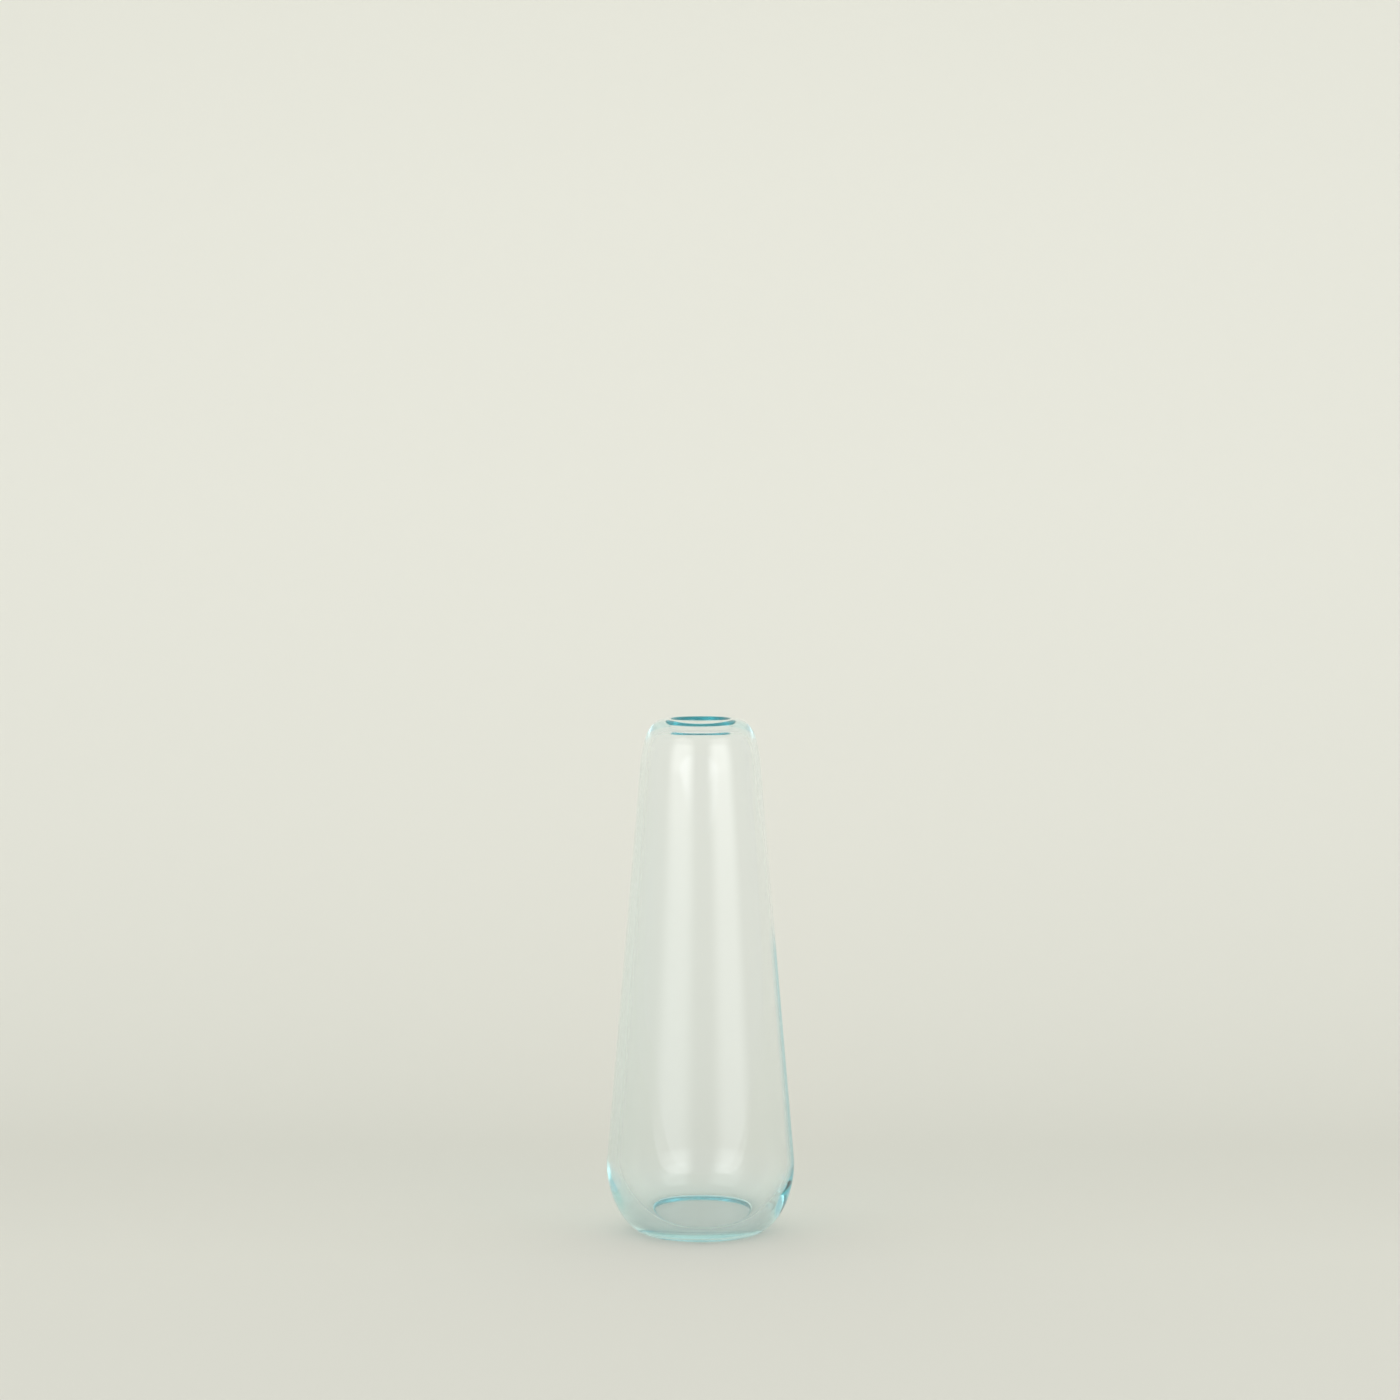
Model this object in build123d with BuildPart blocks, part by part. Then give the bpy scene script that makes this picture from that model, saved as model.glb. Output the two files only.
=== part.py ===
# Glass bud vase, blown in one piece: a foot with a hollow under it, a body that tapers upwards,
# and a round shoulder that turns in to a small mouth with a thick rounded lip.
# Millimetres, +Z up, origin on the axis in the plane that it stands on.
import os
from math import atan2, cos, degrees, pi, sin

from build123d import *

# Outside of the glass. A fullness is how far a curve is pulled towards the corner that it rounds off:
# 0.55 at both of its ends is a round quarter, more is squarer, less is flatter.
overall_height = 200.0
body_diameter = 72.7  # at the low end of the straight taper
body_height = 29.5  # height of that end
shoulder_diameter = 46.9  # where the straight taper ends
shoulder_drop = 20.6  # from the top of the lip down to that edge
foot_fullness = 0.45  # where the foot leaves the standing ring
side_fullness = 0.52  # where it comes up to the taper
shoulder_fullness = 0.57  # where the shoulder leaves the taper
crown_fullness = 0.89  # where it comes level with the lip

# Inside of the glass
low_wall = 3.6  # at the low end of the taper
high_wall = 2.4  # at its high end
floor_thickness = 2.9  # between the hollow and the punt, at their edges
floor_diameter = 39.2  # of that floor
floor_sag = 0.8  # the middle of the floor is lower than its edge by this
corner_fullness = 0.41  # where the bore leaves the taper
floor_fullness = 0.49  # where it comes to the floor
bore_fullness = 0.57  # of the inside of the shoulder, at the taper
mouth_fullness = 0.89  # and at the lip

# Lip, a full round that the shoulder runs into level
lip_diameter = 25.4  # to the middle of the round
lip_thickness = 3.6

# Foot: a shallow hollow under the glass, called the punt, inside the ring that the vase stands on
punt_diameter = 41.8
punt_depth = 3.5
punt_sag = 1.1  # the middle of its roof hangs lower than its edge by this
punt_slope = 0.2  # width of its slanted side
stand_width = 0.8  # of the flat ring

body_radius = body_diameter / 2
shoulder_radius = shoulder_diameter / 2
shoulder_height = overall_height - shoulder_drop
floor_radius = floor_diameter / 2
floor_height = punt_depth + floor_thickness
lip_radius = lip_diameter / 2
half_lip = lip_thickness / 2
punt_radius = punt_diameter / 2
roof_radius = punt_radius - punt_slope
stand_radius = punt_radius + stand_width


def inset(point, angle, depth):
    # the point moved into the glass, square to a line that runs up at this angle
    return (point[0] - depth * sin(angle), point[1] + depth * cos(angle))


def curve(start, start_angle, end, end_angle, start_fullness, end_fullness):
    # leaves start along one line and reaches end along another, bent towards where the two lines cross
    run = end[0] - start[0]
    rise = end[1] - start[1]
    reach = (run * sin(end_angle) - rise * cos(end_angle)) / sin(end_angle - start_angle)
    crossing = Vector(start) + Vector(cos(start_angle), sin(start_angle)) * reach
    near = Vector(start) + (crossing - Vector(start)) * start_fullness
    far = Vector(end) + (crossing - Vector(end)) * end_fullness
    return Bezier(start, near, far, end)


# The section's points, as distance from the axis and height, and its directions, as angles from level
outwards = 0.0
inwards = pi
body_edge = (body_radius, body_height)
shoulder_edge = (shoulder_radius, shoulder_height)
up_the_body = pi / 2 + atan2(body_radius - shoulder_radius, shoulder_height - body_height)

# The bore tapers with the outside, but its wall grows thinner upwards
bore_edge = inset(body_edge, up_the_body, low_wall)
bore_top = inset(shoulder_edge, up_the_body, high_wall)
up_the_bore = atan2(bore_top[1] - bore_edge[1], bore_top[0] - bore_edge[0])

with BuildPart() as vase_glass:
    with BuildSketch(Plane.XZ):
        with BuildLine():
            Bezier(
                (0, punt_depth - punt_sag),
                (roof_radius / 2, punt_depth - punt_sag),
                (roof_radius, punt_depth),
            )
            Bezier(
                (roof_radius, punt_depth),
                (roof_radius + punt_slope / 2, punt_depth),
                (roof_radius + punt_slope / 2, 0),
                (punt_radius, 0),
            )
            Line((punt_radius, 0), (stand_radius, 0))
            curve((stand_radius, 0), outwards, body_edge, up_the_body, foot_fullness, side_fullness)
            Line(body_edge, shoulder_edge)
            curve(
                shoulder_edge,
                up_the_body,
                (lip_radius, overall_height),
                inwards,
                shoulder_fullness,
                crown_fullness,
            )
            CenterArc((lip_radius, overall_height - half_lip), half_lip, degrees(pi / 2), degrees(pi))
            curve(
                (lip_radius, overall_height - lip_thickness),
                inwards,
                bore_top,
                up_the_bore,
                mouth_fullness,
                bore_fullness,
            )
            Line(bore_top, bore_edge)
            curve(
                bore_edge,
                up_the_bore,
                (floor_radius, floor_height),
                outwards,
                corner_fullness,
                floor_fullness,
            )
            Bezier(
                (floor_radius, floor_height),
                (floor_radius / 2, floor_height - floor_sag),
                (0, floor_height - floor_sag),
            )
            Line((0, floor_height - floor_sag), (0, punt_depth - punt_sag))
        make_face()
    revolve(axis=Axis.Z)

vase_glass.part.label = "vase_glass"
os.makedirs("parts", exist_ok=True)
export_step(vase_glass.part, "parts/vase_glass.step")
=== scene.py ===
from math import atan, atan2, ceil, cos, hypot, pi, radians, sin

import bpy
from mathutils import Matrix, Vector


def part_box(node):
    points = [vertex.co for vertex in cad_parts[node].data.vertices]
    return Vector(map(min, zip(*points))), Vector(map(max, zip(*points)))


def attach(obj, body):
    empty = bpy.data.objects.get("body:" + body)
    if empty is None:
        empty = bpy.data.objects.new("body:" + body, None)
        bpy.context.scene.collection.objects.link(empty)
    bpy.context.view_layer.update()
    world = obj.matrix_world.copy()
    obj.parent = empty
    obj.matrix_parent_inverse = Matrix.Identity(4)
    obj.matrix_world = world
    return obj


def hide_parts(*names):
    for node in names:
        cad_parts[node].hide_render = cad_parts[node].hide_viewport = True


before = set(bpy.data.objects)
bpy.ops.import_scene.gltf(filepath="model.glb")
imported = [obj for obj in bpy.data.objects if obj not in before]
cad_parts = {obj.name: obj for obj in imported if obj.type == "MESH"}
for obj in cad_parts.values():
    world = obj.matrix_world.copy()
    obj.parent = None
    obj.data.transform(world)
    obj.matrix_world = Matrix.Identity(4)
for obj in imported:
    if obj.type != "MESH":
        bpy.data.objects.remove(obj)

mm = 0.001
scene = bpy.context.scene
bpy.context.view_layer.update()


def addNode(tree, kind, inputs=None, **settings):
    # inputs are values, or the sockets that feed them
    node = tree.nodes.new(kind)
    for key, value in settings.items():
        setattr(node, key, value)
    for key, value in (inputs or {}).items():
        if isinstance(value, bpy.types.NodeSocket):
            tree.links.new(value, node.inputs[key])
        else:
            node.inputs[key].default_value = value
    return node


def maths(tree, operation, first, second, third=0.0):
    node = addNode(tree, "ShaderNodeMath", {0: first, 1: second, 2: third}, operation=operation)
    return node.outputs[0]


def mapped(tree, value, fromRange, toRange=(0.0, 1.0), curve="LINEAR"):
    inputs = {"Value": value, "From Min": fromRange[0], "From Max": fromRange[1]}
    inputs.update({"To Min": toRange[0], "To Max": toRange[1]})
    return addNode(tree, "ShaderNodeMapRange", inputs, interpolation_type=curve).outputs[0]


def addRamp(tree, factor, shares):
    # grey stops, each a position and a share
    node = tree.nodes.new("ShaderNodeValToRGB")
    elements = node.color_ramp.elements
    while len(elements) < len(shares):
        elements.new(0.5)
    for element, (position, share) in zip(elements, shares):
        element.position = position
        element.color = (share, share, share, 1)
    tree.links.new(factor, node.inputs[0])
    return node


def newMaterial(name):
    material = bpy.data.materials.new(name)
    material.use_nodes = True
    tree = material.node_tree
    tree.nodes.clear()
    return material, tree


# The shape of the glass, in mm. A fullness is how far a curve is pulled towards the corner that it
# rounds off: 0.55 at both ends is a round quarter, and more is squarer.
glass = {
    "bodyDiameter": 72.7,  # at the low end of the straight taper
    "bodyHeight": 29.5,
    "shoulderDiameter": 46.9,  # at its high end
    "shoulderDrop": 20.6,  # from the top down to that end
    "footFullness": 0.45,
    "sideFullness": 0.52,
    "shoulderFullness": 0.57,
    "crownFullness": 0.89,
    "lowWall": 3.43,
    "highWall": 2.4,
    "floorThickness": 1.86,
    "floorDiameter": 40.5,
    "floorSag": 0.82,
    "cornerFullness": 0.513,
    "floorFullness": 0.25,
    "boreFullness": 0.57,
    "mouthFullness": 0.89,
    "lipDiameter": 25.4,  # to the middle of the round
    "lipThickness": 3.6,
    "puntDiameter": 41.8,  # the punt is the hollow under the foot
    "puntDepth": 3.5,
    "puntSag": 1.1,
    "puntSlope": 0.2,
    "standWidth": 0.8,
    "boreShift": (0.89, 0.59),  # the bore stands this far off the axis
    "boreFade": (16.0, 60.0),  # below the top, where that begins and where it is whole
    "segments": 240,  # round the axis
    "lipStep": 0.3,  # along the section, where it bends most
    "curveStep": 0.8,
    "wallStep": 2.0,
}


def bezier(corners, step):
    # points about one step apart, along a curve with three or four corners
    shares = (1, 2, 1) if len(corners) == 3 else (1, 3, 3, 1)
    last = len(corners) - 1
    length = sum(hypot(b[0] - a[0], b[1] - a[1]) for a, b in zip(corners, corners[1:]))
    steps = ceil(length / step)
    points = []
    for i in range(steps + 1):
        t = i / steps
        weights = [share * (1 - t) ** (last - k) * t**k for k, share in enumerate(shares)]
        points.append(tuple(sum(w * c[k] for w, c in zip(weights, corners)) for k in (0, 1)))
    return points


def bend(start, startAngle, end, endAngle, startFullness, endFullness, step):
    # a curve from one direction to another, pulled towards where the two lines cross
    run = end[0] - start[0]
    rise = end[1] - start[1]
    reach = (run * sin(endAngle) - rise * cos(endAngle)) / sin(endAngle - startAngle)
    cross = (start[0] + cos(startAngle) * reach, start[1] + sin(startAngle) * reach)
    near = [s + (c - s) * startFullness for s, c in zip(start, cross)]
    far = [e + (c - e) * endFullness for e, c in zip(end, cross)]
    return bezier((start, near, far, end), step)


def straight(start, end, step):
    return bezier((start, [(a + b) / 2 for a, b in zip(start, end)], end), step)


def inset(point, angle, wall):
    # the point moved in by the wall, square to the outside
    return (point[0] - wall * sin(angle), point[1] + wall * cos(angle))


def glassSection(g, height):
    # half a section, from the middle of the punt out, up, over the lip and down the bore
    shoulderHeight = height - g["shoulderDrop"]
    bodyEdge = (g["bodyDiameter"] / 2, g["bodyHeight"])
    shoulderEdge = (g["shoulderDiameter"] / 2, shoulderHeight)
    upTheBody = pi / 2 + atan2(bodyEdge[0] - shoulderEdge[0], shoulderHeight - g["bodyHeight"])
    boreEdge = inset(bodyEdge, upTheBody, g["lowWall"])
    boreTop = inset(shoulderEdge, upTheBody, g["highWall"])
    upTheBore = atan2(boreTop[1] - boreEdge[1], boreTop[0] - boreEdge[0])
    lipRadius = g["lipDiameter"] / 2
    halfLip = g["lipThickness"] / 2
    lipTop = (lipRadius, height)
    lipBottom = (lipRadius, height - g["lipThickness"])
    puntEdge = g["puntDiameter"] / 2
    roofEdge = puntEdge - g["puntSlope"]
    slope = (roofEdge + puntEdge) / 2
    roof = g["puntDepth"]
    roofMiddle = roof - g["puntSag"]
    standEdge = (puntEdge + g["standWidth"], 0)
    floorEdge = g["floorDiameter"] / 2
    floor = roof + g["floorThickness"]
    floorMiddle = floor - g["floorSag"]
    fine, curve, wall = g["lipStep"], g["curveStep"], g["wallStep"]
    lipSteps = ceil(pi * halfLip / fine)
    lipTurn = [pi / 2 + pi * i / lipSteps for i in range(lipSteps + 1)]
    shoulder = (g["shoulderFullness"], g["crownFullness"])
    boreShoulder = (g["mouthFullness"], g["boreFullness"])
    boreCorner = (g["cornerFullness"], g["floorFullness"])
    runs = [
        bezier(((0, roofMiddle), (roofEdge / 2, roofMiddle), (roofEdge, roof)), curve),
        bezier(((roofEdge, roof), (slope, roof), (slope, 0), (puntEdge, 0)), fine),
        [(puntEdge, 0), standEdge],
        bend(standEdge, 0.0, bodyEdge, upTheBody, g["footFullness"], g["sideFullness"], curve),
        straight(bodyEdge, shoulderEdge, wall),
        bend(shoulderEdge, upTheBody, lipTop, pi, *shoulder, curve),
        [(lipRadius + halfLip * cos(a), height - halfLip + halfLip * sin(a)) for a in lipTurn],
        bend(lipBottom, pi, boreTop, upTheBore, *boreShoulder, curve),
        straight(boreTop, boreEdge, wall),
        bend(boreEdge, upTheBore, (floorEdge, floor), 0.0, *boreCorner, curve),
        bezier(((floorEdge, floor), (floorEdge / 2, floorMiddle), (0, floorMiddle)), curve),
    ]
    return runs[0] + [point for run in runs[1:] for point in run[1:]]


def blend(value, start, end):
    # 0 before the start, 1 after the end, smooth between them
    t = min(1.0, max(0.0, (value - start) / (end - start)))
    return t * t * (3 - 2 * t)


def turnGlass(name, section, g, height):
    # the section turned round the axis, with one point at each end and the bore a little off the axis
    segments = g["segments"]
    shift = g["boreShift"]
    turns = [2 * pi * k / segments for k in range(segments)]
    lipTop = max(range(len(section)), key=lambda i: section[i][1])
    points = [(0, 0, section[0][1] * mm)]
    for i, (radius, z) in enumerate(section[1:-1], start=1):
        off = blend(height - z, *g["boreFade"]) if i > lipTop else 0.0
        for turn in turns:
            x = radius * cos(turn) + off * shift[0]
            y = radius * sin(turn) + off * shift[1]
            points.append((x * mm, y * mm, z * mm))
    points.append((shift[0] * mm, shift[1] * mm, section[-1][1] * mm))
    rows = len(section) - 2
    last = len(points) - 1
    faces = []
    for k in range(segments):
        k2 = (k + 1) % segments
        faces.append((0, 1 + k2, 1 + k))
        for row in range(rows - 1):
            a = 1 + row * segments
            b = a + segments
            faces.append((a + k, a + k2, b + k2, b + k))
        a = 1 + (rows - 1) * segments
        faces.append((a + k, a + k2, last))
    mesh = bpy.data.meshes.new(name)
    mesh.from_pydata(points, [], faces)
    mesh.update()
    for polygon in mesh.polygons:
        polygon.use_smooth = True
    piece = bpy.data.objects.new(name, mesh)
    scene.collection.objects.link(piece)
    return piece


# the glass itself, lengths in mm
aqua = {
    "ior": 1.5,
    "tint": (0.0, 0.80, 0.85),  # what it lets through, red least
    "tintDensity": 8.2,  # per metre
    "shadow": (0.95, 0.97, 0.975),  # light that each face lets through to the paper
    "cordScale": 160.0,  # faint cords, left by blowing
    "cordStretch": 0.06,  # they run up the wall
    "cordStrength": 0.25,
    "cordDepth": 0.02,
    "handledScale": 28.0,  # patches that are a little less bright
    "handledAmount": (0.5, 0.75),  # of the noise, where they begin and where they are whole
    "roughness": 0.02,
    "edgeShadeColour": (0.20, 0.60, 0.74),  # painted shade: a deeper teal at the edge, low on one side
    "edgeFacing": (0.60, 0.82),  # how far the face turns away, where it begins and where it is whole
    "edgeTop": (108.0, 124.0),  # up the vase, where it begins to fade and where it has gone
    "edgeSide": (-10.0, 25.0),  # across, where it begins and where it is whole
    "puntShadeColour": (0.22, 0.62, 0.72),  # painted shade: a deeper teal on the steep side of the punt
    "puntSpare": 0.05,  # and this much on both sides of it
}


def upTheCords(tree, place, a):
    drawn = addNode(
        tree, "ShaderNodeMapping", {"Vector": place.outputs["Object"], "Scale": (1, 1, a["cordStretch"])}
    )
    cords = addNode(
        tree, "ShaderNodeTexNoise", {"Vector": drawn.outputs[0], "Scale": a["cordScale"], "Detail": 1.0}
    )
    settings = {"Height": cords.outputs[0], "Strength": a["cordStrength"], "Distance": a["cordDepth"] * mm}
    return addNode(tree, "ShaderNodeBump", settings).outputs[0]


def handled(tree, place, a):
    touched = addNode(
        tree, "ShaderNodeTexNoise", {"Vector": place.outputs["Object"], "Scale": a["handledScale"]}
    )
    return mapped(tree, touched.outputs[0], a["handledAmount"], (0.0, a["roughness"]))


def paintedEdgeShade(tree, axes, fromAxis, g, a, shoulderHeight):
    # painted shade: a deeper teal where the face turns away, low on one side; only on the outside, the face
    # that lies near the straight taper
    bottom, top = (height * mm for height in a["edgeTop"])
    low = mapped(tree, axes.outputs["Z"], (top, bottom), curve="SMOOTHSTEP")
    side = mapped(tree, axes.outputs["X"], [x * mm for x in a["edgeSide"]])
    grazing = addNode(tree, "ShaderNodeLayerWeight", {"Blend": 0.5})
    paintedEdgeMask = mapped(tree, grazing.outputs["Facing"], a["edgeFacing"])
    midWall = [(g[key] - g["highWall"]) / 2 * mm for key in ("bodyDiameter", "shoulderDiameter")]
    taper = mapped(tree, axes.outputs["Z"], (g["bodyHeight"] * mm, shoulderHeight * mm), midWall)
    outside = maths(tree, "GREATER_THAN", fromAxis, taper)
    share = maths(tree, "MULTIPLY", low, side)
    return maths(tree, "MULTIPLY", maths(tree, "MULTIPLY", share, outside), paintedEdgeMask)


def puntShadeMask(tree, axes, fromAxis, g, a):
    # painted shade: marks the steep side of the punt, and a little on both sides of it, for a deeper teal
    half = g["puntSlope"] / 2
    middle = g["puntDiameter"] / 2 - half
    within = maths(tree, "COMPARE", fromAxis, middle * mm, (half + a["puntSpare"]) * mm)
    return maths(tree, "MULTIPLY", within, maths(tree, "LESS_THAN", axes.outputs["Z"], g["puntDepth"] * mm))


def mixed(tree, amount, first, second):
    sockets = {"Factor": amount, "A": first, "B": second}
    return addNode(tree, "ShaderNodeMix", sockets, data_type="RGBA").outputs["Result"]


def paleAquaGlass(g, a, shoulderHeight):
    material, tree = newMaterial("paleAquaGlass")
    place = addNode(tree, "ShaderNodeTexCoord")
    axes = addNode(tree, "ShaderNodeSeparateXYZ", {0: place.outputs["Object"]})
    level = addNode(tree, "ShaderNodeCombineXYZ", {"X": axes.outputs["X"], "Y": axes.outputs["Y"]})
    fromAxis = addNode(tree, "ShaderNodeVectorMath", {0: level.outputs[0]}, operation="LENGTH").outputs["Value"]
    # painted shade: a deeper teal mixed in where the face turns away, low on one side, in the colour and in the
    # tint of reflections
    paintedEdgeMask = paintedEdgeShade(tree, axes, fromAxis, g, a, shoulderHeight)
    colour = mixed(tree, paintedEdgeMask, (1, 1, 1, 1), (*a["edgeShadeColour"], 1))
    # painted shade: a deeper teal on the steep side of the punt, in the colour and in the tint of reflections
    colour = mixed(tree, puntShadeMask(tree, axes, fromAxis, g, a), colour, (*a["puntShadeColour"], 1))
    shader = addNode(
        tree,
        "ShaderNodeBsdfPrincipled",
        {
            "Base Color": colour,
            "Specular Tint": colour,
            "Roughness": handled(tree, place, a),
            "IOR": a["ior"],
            "Transmission Weight": 1.0,
            "Normal": upTheCords(tree, place, a),
        },
    )
    # the lamps shine through it, so that its shadow is as faint as that of clear glass
    ray = addNode(tree, "ShaderNodeLightPath")
    through = addNode(tree, "ShaderNodeBsdfTransparent", {"Color": (*a["shadow"], 1)})
    faces = {0: ray.outputs["Is Shadow Ray"], 1: shader.outputs[0], 2: through.outputs[0]}
    surface = addNode(tree, "ShaderNodeMixShader", faces)
    absorb = addNode(
        tree, "ShaderNodeVolumeAbsorption", {"Color": (*a["tint"], 1), "Density": a["tintDensity"]}
    )
    addNode(tree, "ShaderNodeOutputMaterial", {"Surface": surface.outputs[0], "Volume": absorb.outputs[0]})
    return material


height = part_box("vase_glass")[1][2] / mm
vase = turnGlass("blownVase", glassSection(glass, height), glass, height)
vase.data.materials.append(paleAquaGlass(glass, aqua, height - glass["shoulderDrop"]))
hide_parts("vase_glass")
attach(vase, "root")
print("glass turned:", len(vase.data.polygons), "faces")

# the sheet that the vase stands on, in metres, curving up behind it
paper = {
    "ivory": (0.80, 0.80, 0.725),
    # painted shade: share of the ivory along the sheet, from its near edge to its top; darker at the near edge,
    # in a band where the sheet starts to curve up, and towards the top
    "paperShadeTones": [
        (0.25, 0.86),
        (0.30, 0.912),
        (0.36, 0.962),
        (0.40, 0.944),
        (0.435, 0.941),
        (0.47, 0.96),
        (0.51, 0.974),
        (0.60, 0.989),
        (0.76, 1.0),
        (0.90, 0.99),
        (1.0, 0.965),
    ],
    "paperShadeRange": (-0.6, 1.0),  # height plus half of the depth, where the tones start and end
    "near": -0.5,
    "sweepStart": 0.16,
    "sweepRadius": 0.6,
    "sweepSteps": 48,
    "top": 2.2,
    "width": 3.0,
}


def paperSweep(p):
    rows = [(p["near"], 0.0)]
    for i in range(p["sweepSteps"] + 1):
        a = pi / 2 * i / p["sweepSteps"]
        rows.append((p["sweepStart"] + p["sweepRadius"] * sin(a), p["sweepRadius"] * (1 - cos(a))))
    rows.append((p["sweepStart"] + p["sweepRadius"], p["top"]))
    points = [(side * p["width"] / 2, y, z) for y, z in rows for side in (-1, 1)]
    faces = [(2 * i, 2 * i + 1, 2 * i + 3, 2 * i + 2) for i in range(len(rows) - 1)]
    mesh = bpy.data.meshes.new("ivoryPaper")
    mesh.from_pydata(points, [], faces)
    for polygon in mesh.polygons:
        polygon.use_smooth = True
    sheet = bpy.data.objects.new("ivoryPaper", mesh)
    scene.collection.objects.link(sheet)
    return sheet


def ivoryPaper(p):
    # the painted shade follows the sheet, and from behind the sheet isn't there
    material, tree = newMaterial("ivoryPaper")
    place = addNode(tree, "ShaderNodeTexCoord")
    axes = addNode(tree, "ShaderNodeSeparateXYZ", {0: place.outputs["Object"]})
    along = maths(tree, "ADD", maths(tree, "MULTIPLY", axes.outputs["Y"], 0.5), axes.outputs["Z"])
    paperShade = addRamp(tree, mapped(tree, along, p["paperShadeRange"]), p["paperShadeTones"])
    sockets = {"Factor": 1.0, "A": (*p["ivory"], 1), "B": paperShade.outputs[0]}
    colour = addNode(tree, "ShaderNodeMix", sockets, data_type="RGBA", blend_type="MULTIPLY")
    shader = addNode(tree, "ShaderNodeBsdfDiffuse", {"Color": colour.outputs["Result"]})
    clear = addNode(tree, "ShaderNodeBsdfTransparent")
    side = addNode(tree, "ShaderNodeNewGeometry")
    both = addNode(
        tree, "ShaderNodeMixShader", {0: side.outputs["Backfacing"], 1: shader.outputs[0], 2: clear.outputs[0]}
    )
    addNode(tree, "ShaderNodeOutputMaterial", {"Surface": both.outputs[0]})
    return material


sweep = paperSweep(paper)
sweep.data.materials.append(ivoryPaper(paper))
print("paper laid")

# two softboxes in front, one to each side, in metres, degrees and watts
lamps = {
    "left": {"azimuth": -39, "width": 1.7, "height": 1.8, "distance": 1.35, "bottom": -0.5, "power": 20},
    "right": {"azimuth": 41, "width": 1.6, "height": 1.8, "distance": 1.35, "bottom": -0.5, "power": 20},
    "softSides": 0.38,  # share of the cloth that falls off at each edge
    # strength up the cloth, from its lower end to its top
    "up": [(0.0, 0.0), (0.12, 0.5), (0.36, 0.55), (0.47, 1.0), (0.85, 1.0), (1.0, 0.0)],
    "room": 0.70,
    "roomColour": (1.0, 1.0, 1.0),
}


def fallOff(tree, socket, share):
    away = maths(tree, "ABSOLUTE", maths(tree, "SUBTRACT", socket, 0.5), 0.0)
    return mapped(tree, away, (0.5 - share, 0.5), (1.0, 0.0), "SMOOTHSTEP")


def softbox(name, settings, softSides, up):
    light = bpy.data.lights.new(name, "AREA")
    light.shape = "RECTANGLE"
    light.size = settings["width"]
    light.size_y = settings["height"]
    light.energy = settings["power"]
    light.use_nodes = True
    tree = light.node_tree
    cloth = addNode(tree, "ShaderNodeTexCoord")
    axes = addNode(tree, "ShaderNodeSeparateXYZ", {0: cloth.outputs["UV"]})
    ends = addRamp(tree, axes.outputs["Y"], up)
    ends.color_ramp.interpolation = "EASE"
    glow = maths(tree, "MULTIPLY", fallOff(tree, axes.outputs["X"], softSides), ends.outputs[0])
    tree.links.new(glow, tree.nodes["Emission"].inputs["Strength"])
    lamp = bpy.data.objects.new(name, light)
    scene.collection.objects.link(lamp)
    a = radians(settings["azimuth"])
    middle = settings["bottom"] + settings["height"] / 2
    lamp.location = (settings["distance"] * sin(a), -settings["distance"] * cos(a), middle)
    lamp.rotation_euler = (pi / 2, 0, a)


def lightRoom(name, colour, strength):
    world = bpy.data.worlds.new(name)
    scene.world = world
    world.use_nodes = True
    background = world.node_tree.nodes["Background"]
    background.inputs["Color"].default_value = (*colour, 1)
    background.inputs["Strength"].default_value = strength


softbox("leftSoftbox", lamps["left"], lamps["softSides"], lamps["up"])
softbox("rightSoftbox", lamps["right"], lamps["softSides"], lamps["up"])
lightRoom("room", lamps["roomColour"], lamps["room"])
print("lamps set")

# distance in metres, elevation in degrees
camera = {
    "distance": 1.305,
    "elevation": 12.5,
    "zoom": 2.357,  # lens over sensor
    "baseDrop": 0.16045,  # slope from the middle of the view down to the middle of the foot
    "side": 0.00018,  # shift to the left, over the distance
    "sensor": 36.0,  # mm
    "bounces": 96,  # light turns many times inside the thick foot
}


def placeCamera(c):
    data = bpy.data.cameras.new("camera")
    data.sensor_width = c["sensor"]
    data.lens = c["sensor"] * c["zoom"]
    data.clip_end = 50
    eye = bpy.data.objects.new("camera", data)
    scene.collection.objects.link(eye)
    e = radians(c["elevation"])
    eye.location = (-c["side"] * c["distance"], -c["distance"] * cos(e), c["distance"] * sin(e))
    eye.rotation_euler = (pi / 2 - (e - atan(c["baseDrop"])), 0, 0)
    scene.camera = eye
    scene.cycles.max_bounces = c["bounces"]
    scene.cycles.transmission_bounces = c["bounces"]
    scene.cycles.glossy_bounces = c["bounces"]


placeCamera(camera)
scene.view_settings.view_transform = "Standard"
print("camera placed")
